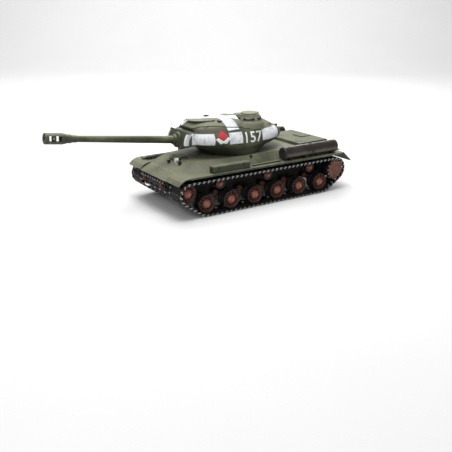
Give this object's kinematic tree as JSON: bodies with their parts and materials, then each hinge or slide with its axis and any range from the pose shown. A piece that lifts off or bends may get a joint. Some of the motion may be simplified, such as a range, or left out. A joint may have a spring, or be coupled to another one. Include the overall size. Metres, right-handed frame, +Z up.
{
  "type": "rc tank",
  "caption": "Radio-controlled model of a heavy tracked tank with a long gun, turning turret, sprung road wheels and opening hatches.",
  "frame": {"origin": "centre of the overall footprint, on the surface the tracks stand on", "axes": "+Z up, -Y towards the gun's muzzle, +X to the tank's left side"},
  "size_m": [0.193, 0.6065, 0.1674],
  "materials": {
    "green_paint": "matt, weathered olive green",
    "dark_hull_paint": "matt dark green, dusty",
    "rust_brown_paint": "matt red-brown, worn at the edges",
    "track_steel": "dark, worn bright on the edges",
    "drum_metal": "dark gunmetal brown, satin",
    "lamp_metal": "satin grey",
    "gearbox_metal": "machined",
    "battery_wrap": "blue shrink wrap",
    "circuit_board": "green board",
    "screw_steel": "zinc plated",
    "switch_plastic": "black"
  },
  "bodies": {
    "hull": {"lower_hull": "dark_hull_paint", "upper_hull": "green_paint", "left_track": "track_steel", "right_track": "track_steel", "engine_deck": "green_paint", "fuel_drums": "drum_metal", "fender_stowage": "green_paint", "headlight_and_horn": "lamp_metal", "gearboxes": "gearbox_metal", "battery_pack": "battery_wrap", "electronics": "circuit_board", "battery_cover": "dark_hull_paint", "screws": "screw_steel"},
    "left_sprocket": {"left_sprocket": "rust_brown_paint"},
    "left_motor_pinion": {"left_motor_pinion": "gearbox_metal"},
    "left_idler": {"left_idler": "rust_brown_paint"},
    "left_return_roller_1": {"left_return_roller_1": "rust_brown_paint"},
    "left_return_roller_2": {"left_return_roller_2": "rust_brown_paint"},
    "left_return_roller_3": {"left_return_roller_3": "rust_brown_paint"},
    "left_arm_1": {"left_arm_1": "rust_brown_paint"},
    "left_road_wheel_1": {"left_road_wheel_1": "rust_brown_paint"},
    "left_arm_2": {"left_arm_2": "rust_brown_paint"},
    "left_road_wheel_2": {"left_road_wheel_2": "rust_brown_paint"},
    "left_arm_3": {"left_arm_3": "rust_brown_paint"},
    "left_road_wheel_3": {"left_road_wheel_3": "rust_brown_paint"},
    "left_arm_4": {"left_arm_4": "rust_brown_paint"},
    "left_road_wheel_4": {"left_road_wheel_4": "rust_brown_paint"},
    "left_arm_5": {"left_arm_5": "rust_brown_paint"},
    "left_road_wheel_5": {"left_road_wheel_5": "rust_brown_paint"},
    "left_arm_6": {"left_arm_6": "rust_brown_paint"},
    "left_road_wheel_6": {"left_road_wheel_6": "rust_brown_paint"},
    "right_sprocket": {"right_sprocket": "rust_brown_paint"},
    "right_motor_pinion": {"right_motor_pinion": "gearbox_metal"},
    "right_idler": {"right_idler": "rust_brown_paint"},
    "right_return_roller_1": {"right_return_roller_1": "rust_brown_paint"},
    "right_return_roller_2": {"right_return_roller_2": "rust_brown_paint"},
    "right_return_roller_3": {"right_return_roller_3": "rust_brown_paint"},
    "right_arm_1": {"right_arm_1": "rust_brown_paint"},
    "right_road_wheel_1": {"right_road_wheel_1": "rust_brown_paint"},
    "right_arm_2": {"right_arm_2": "rust_brown_paint"},
    "right_road_wheel_2": {"right_road_wheel_2": "rust_brown_paint"},
    "right_arm_3": {"right_arm_3": "rust_brown_paint"},
    "right_road_wheel_3": {"right_road_wheel_3": "rust_brown_paint"},
    "right_arm_4": {"right_arm_4": "rust_brown_paint"},
    "right_road_wheel_4": {"right_road_wheel_4": "rust_brown_paint"},
    "right_arm_5": {"right_arm_5": "rust_brown_paint"},
    "right_road_wheel_5": {"right_road_wheel_5": "rust_brown_paint"},
    "right_arm_6": {"right_arm_6": "rust_brown_paint"},
    "right_road_wheel_6": {"right_road_wheel_6": "rust_brown_paint"},
    "turret": {"turret_shell": "green_paint", "turret_fittings": "green_paint", "commander_cupola": "green_paint", "turret_ring": "gearbox_metal"},
    "turret_pinion": {"turret_pinion": "gearbox_metal"},
    "mantlet": {"mantlet": "green_paint"},
    "gun": {"gun_barrel": "green_paint", "muzzle_brake": "green_paint"},
    "commander_hatch": {"commander_hatch": "green_paint"},
    "loader_hatch": {"loader_hatch": "green_paint"},
    "power_switch": {"power_switch": "switch_plastic"}
  },
  "joints": [
    {"name": "left_drive_spin", "type": "hinge", "parent": "hull", "child": "left_sprocket", "pos_m": [0.0753, 0.26425, 0.0438], "axis": [1, 0, 0], "continuous": true},
    {"name": "left_motor_spin", "type": "hinge", "parent": "hull", "child": "left_motor_pinion", "pos_m": [0.042, 0.24745, 0.0438], "axis": [1, 0, 0], "continuous": true},
    {"name": "left_idler_spin", "type": "hinge", "parent": "hull", "child": "left_idler", "pos_m": [0.0753, -0.08115, 0.046], "axis": [1, 0, 0], "continuous": true},
    {"name": "left_roller_1_spin", "type": "hinge", "parent": "hull", "child": "left_return_roller_1", "pos_m": [0.0753, -0.01025, 0.054], "axis": [1, 0, 0], "continuous": true},
    {"name": "left_roller_2_spin", "type": "hinge", "parent": "hull", "child": "left_return_roller_2", "pos_m": [0.0753, 0.09885, 0.054], "axis": [1, 0, 0], "continuous": true},
    {"name": "left_roller_3_spin", "type": "hinge", "parent": "hull", "child": "left_return_roller_3", "pos_m": [0.0753, 0.20405, 0.054], "axis": [1, 0, 0], "continuous": true},
    {"name": "left_arm_1_swing", "type": "hinge", "parent": "hull", "child": "left_arm_1", "pos_m": [0.055, -0.06075, 0.0312], "axis": [1, 0, 0], "range_deg": [0, 15], "stiffness_Nm_per_rad": 0.04, "springref_deg": -20.05},
    {"name": "left_wheel_1_spin", "type": "hinge", "parent": "left_arm_1", "child": "left_road_wheel_1", "pos_m": [0.0753, -0.04075, 0.0206], "axis": [1, 0, 0], "continuous": true},
    {"name": "left_arm_2_swing", "type": "hinge", "parent": "hull", "child": "left_arm_2", "pos_m": [0.055, -0.00645, 0.0312], "axis": [1, 0, 0], "range_deg": [0, 15], "stiffness_Nm_per_rad": 0.04, "springref_deg": -20.05},
    {"name": "left_wheel_2_spin", "type": "hinge", "parent": "left_arm_2", "child": "left_road_wheel_2", "pos_m": [0.0753, 0.01355, 0.0206], "axis": [1, 0, 0], "continuous": true},
    {"name": "left_arm_3_swing", "type": "hinge", "parent": "hull", "child": "left_arm_3", "pos_m": [0.055, 0.04785, 0.0312], "axis": [1, 0, 0], "range_deg": [0, 15], "stiffness_Nm_per_rad": 0.04, "springref_deg": -20.05},
    {"name": "left_wheel_3_spin", "type": "hinge", "parent": "left_arm_3", "child": "left_road_wheel_3", "pos_m": [0.0753, 0.06785, 0.0206], "axis": [1, 0, 0], "continuous": true},
    {"name": "left_arm_4_swing", "type": "hinge", "parent": "hull", "child": "left_arm_4", "pos_m": [0.055, 0.10215, 0.0312], "axis": [1, 0, 0], "range_deg": [0, 15], "stiffness_Nm_per_rad": 0.04, "springref_deg": -20.05},
    {"name": "left_wheel_4_spin", "type": "hinge", "parent": "left_arm_4", "child": "left_road_wheel_4", "pos_m": [0.0753, 0.12215, 0.0206], "axis": [1, 0, 0], "continuous": true},
    {"name": "left_arm_5_swing", "type": "hinge", "parent": "hull", "child": "left_arm_5", "pos_m": [0.055, 0.15645, 0.0312], "axis": [1, 0, 0], "range_deg": [0, 15], "stiffness_Nm_per_rad": 0.04, "springref_deg": -20.05},
    {"name": "left_wheel_5_spin", "type": "hinge", "parent": "left_arm_5", "child": "left_road_wheel_5", "pos_m": [0.0753, 0.17645, 0.0206], "axis": [1, 0, 0], "continuous": true},
    {"name": "left_arm_6_swing", "type": "hinge", "parent": "hull", "child": "left_arm_6", "pos_m": [0.055, 0.21075, 0.0312], "axis": [1, 0, 0], "range_deg": [0, 15], "stiffness_Nm_per_rad": 0.04, "springref_deg": -20.05},
    {"name": "left_wheel_6_spin", "type": "hinge", "parent": "left_arm_6", "child": "left_road_wheel_6", "pos_m": [0.0753, 0.23075, 0.0206], "axis": [1, 0, 0], "continuous": true},
    {"name": "right_drive_spin", "type": "hinge", "parent": "hull", "child": "right_sprocket", "pos_m": [-0.0753, 0.26425, 0.0438], "axis": [1, 0, 0], "continuous": true},
    {"name": "right_motor_spin", "type": "hinge", "parent": "hull", "child": "right_motor_pinion", "pos_m": [-0.042, 0.24745, 0.0438], "axis": [1, 0, 0], "continuous": true},
    {"name": "right_idler_spin", "type": "hinge", "parent": "hull", "child": "right_idler", "pos_m": [-0.0753, -0.08115, 0.046], "axis": [1, 0, 0], "continuous": true},
    {"name": "right_roller_1_spin", "type": "hinge", "parent": "hull", "child": "right_return_roller_1", "pos_m": [-0.0753, -0.01025, 0.054], "axis": [1, 0, 0], "continuous": true},
    {"name": "right_roller_2_spin", "type": "hinge", "parent": "hull", "child": "right_return_roller_2", "pos_m": [-0.0753, 0.09885, 0.054], "axis": [1, 0, 0], "continuous": true},
    {"name": "right_roller_3_spin", "type": "hinge", "parent": "hull", "child": "right_return_roller_3", "pos_m": [-0.0753, 0.20405, 0.054], "axis": [1, 0, 0], "continuous": true},
    {"name": "right_arm_1_swing", "type": "hinge", "parent": "hull", "child": "right_arm_1", "pos_m": [-0.055, -0.06075, 0.0312], "axis": [1, 0, 0], "range_deg": [0, 15], "stiffness_Nm_per_rad": 0.04, "springref_deg": -20.05},
    {"name": "right_wheel_1_spin", "type": "hinge", "parent": "right_arm_1", "child": "right_road_wheel_1", "pos_m": [-0.0753, -0.04075, 0.0206], "axis": [1, 0, 0], "continuous": true},
    {"name": "right_arm_2_swing", "type": "hinge", "parent": "hull", "child": "right_arm_2", "pos_m": [-0.055, -0.00645, 0.0312], "axis": [1, 0, 0], "range_deg": [0, 15], "stiffness_Nm_per_rad": 0.04, "springref_deg": -20.05},
    {"name": "right_wheel_2_spin", "type": "hinge", "parent": "right_arm_2", "child": "right_road_wheel_2", "pos_m": [-0.0753, 0.01355, 0.0206], "axis": [1, 0, 0], "continuous": true},
    {"name": "right_arm_3_swing", "type": "hinge", "parent": "hull", "child": "right_arm_3", "pos_m": [-0.055, 0.04785, 0.0312], "axis": [1, 0, 0], "range_deg": [0, 15], "stiffness_Nm_per_rad": 0.04, "springref_deg": -20.05},
    {"name": "right_wheel_3_spin", "type": "hinge", "parent": "right_arm_3", "child": "right_road_wheel_3", "pos_m": [-0.0753, 0.06785, 0.0206], "axis": [1, 0, 0], "continuous": true},
    {"name": "right_arm_4_swing", "type": "hinge", "parent": "hull", "child": "right_arm_4", "pos_m": [-0.055, 0.10215, 0.0312], "axis": [1, 0, 0], "range_deg": [0, 15], "stiffness_Nm_per_rad": 0.04, "springref_deg": -20.05},
    {"name": "right_wheel_4_spin", "type": "hinge", "parent": "right_arm_4", "child": "right_road_wheel_4", "pos_m": [-0.0753, 0.12215, 0.0206], "axis": [1, 0, 0], "continuous": true},
    {"name": "right_arm_5_swing", "type": "hinge", "parent": "hull", "child": "right_arm_5", "pos_m": [-0.055, 0.15645, 0.0312], "axis": [1, 0, 0], "range_deg": [0, 15], "stiffness_Nm_per_rad": 0.04, "springref_deg": -20.05},
    {"name": "right_wheel_5_spin", "type": "hinge", "parent": "right_arm_5", "child": "right_road_wheel_5", "pos_m": [-0.0753, 0.17645, 0.0206], "axis": [1, 0, 0], "continuous": true},
    {"name": "right_arm_6_swing", "type": "hinge", "parent": "hull", "child": "right_arm_6", "pos_m": [-0.055, 0.21075, 0.0312], "axis": [1, 0, 0], "range_deg": [0, 15], "stiffness_Nm_per_rad": 0.04, "springref_deg": -20.05},
    {"name": "right_wheel_6_spin", "type": "hinge", "parent": "right_arm_6", "child": "right_road_wheel_6", "pos_m": [-0.0753, 0.23075, 0.0206], "axis": [1, 0, 0], "continuous": true},
    {"name": "turret_turn", "type": "hinge", "parent": "hull", "child": "turret", "pos_m": [0, 0.06425, 0.0923], "axis": [0, 0, 1], "continuous": true},
    {"name": "turret_pinion_spin", "type": "hinge", "parent": "hull", "child": "turret_pinion", "pos_m": [0, 0.10225, 0.087], "axis": [0, 0, 1], "continuous": true},
    {"name": "gun_elevation", "type": "hinge", "parent": "turret", "child": "mantlet", "pos_m": [0, -0.02575, 0.1215], "axis": [-1, 0, 0], "range_deg": [-10, 12]},
    {"name": "gun_recoil", "type": "slide", "parent": "mantlet", "child": "gun", "axis": [0, 0.9923, -0.1236], "range_m": [0, 0.01], "stiffness_N_per_m": 60, "springref_m": -0.003},
    {"name": "commander_hatch_open", "type": "hinge", "parent": "turret", "child": "commander_hatch", "pos_m": [0.028, 0.11145, 0.16465], "axis": [-1, 0, 0], "range_deg": [0, 100]},
    {"name": "loader_hatch_open", "type": "hinge", "parent": "turret", "child": "loader_hatch", "pos_m": [-0.024, 0.08625, 0.155], "axis": [-1, 0, 0], "range_deg": [0, 100]},
    {"name": "power_switch_slide", "type": "slide", "parent": "hull", "child": "power_switch", "axis": [0, 1, 0], "range_m": [0, 0.0035]}
  ],
  "couplings": [
    {"joint": "left_motor_spin", "follows": "left_drive_spin", "ratio": -3.2},
    {"joint": "left_idler_spin", "follows": "left_drive_spin", "ratio": 1.3227},
    {"joint": "left_roller_1_spin", "follows": "left_drive_spin", "ratio": 2.3214},
    {"joint": "left_roller_2_spin", "follows": "left_drive_spin", "ratio": 2.3214},
    {"joint": "left_roller_3_spin", "follows": "left_drive_spin", "ratio": 2.3214},
    {"joint": "left_wheel_1_spin", "follows": "left_drive_spin", "ratio": 1.3227},
    {"joint": "left_wheel_2_spin", "follows": "left_drive_spin", "ratio": 1.3227},
    {"joint": "left_wheel_3_spin", "follows": "left_drive_spin", "ratio": 1.3227},
    {"joint": "left_wheel_4_spin", "follows": "left_drive_spin", "ratio": 1.3227},
    {"joint": "left_wheel_5_spin", "follows": "left_drive_spin", "ratio": 1.3227},
    {"joint": "left_wheel_6_spin", "follows": "left_drive_spin", "ratio": 1.3227},
    {"joint": "right_motor_spin", "follows": "right_drive_spin", "ratio": -3.2},
    {"joint": "right_idler_spin", "follows": "right_drive_spin", "ratio": 1.3227},
    {"joint": "right_roller_1_spin", "follows": "right_drive_spin", "ratio": 2.3214},
    {"joint": "right_roller_2_spin", "follows": "right_drive_spin", "ratio": 2.3214},
    {"joint": "right_roller_3_spin", "follows": "right_drive_spin", "ratio": 2.3214},
    {"joint": "right_wheel_1_spin", "follows": "right_drive_spin", "ratio": 1.3227},
    {"joint": "right_wheel_2_spin", "follows": "right_drive_spin", "ratio": 1.3227},
    {"joint": "right_wheel_3_spin", "follows": "right_drive_spin", "ratio": 1.3227},
    {"joint": "right_wheel_4_spin", "follows": "right_drive_spin", "ratio": 1.3227},
    {"joint": "right_wheel_5_spin", "follows": "right_drive_spin", "ratio": 1.3227},
    {"joint": "right_wheel_6_spin", "follows": "right_drive_spin", "ratio": 1.3227},
    {"joint": "turret_pinion_spin", "follows": "turret_turn", "ratio": 7.3333}
  ]
}
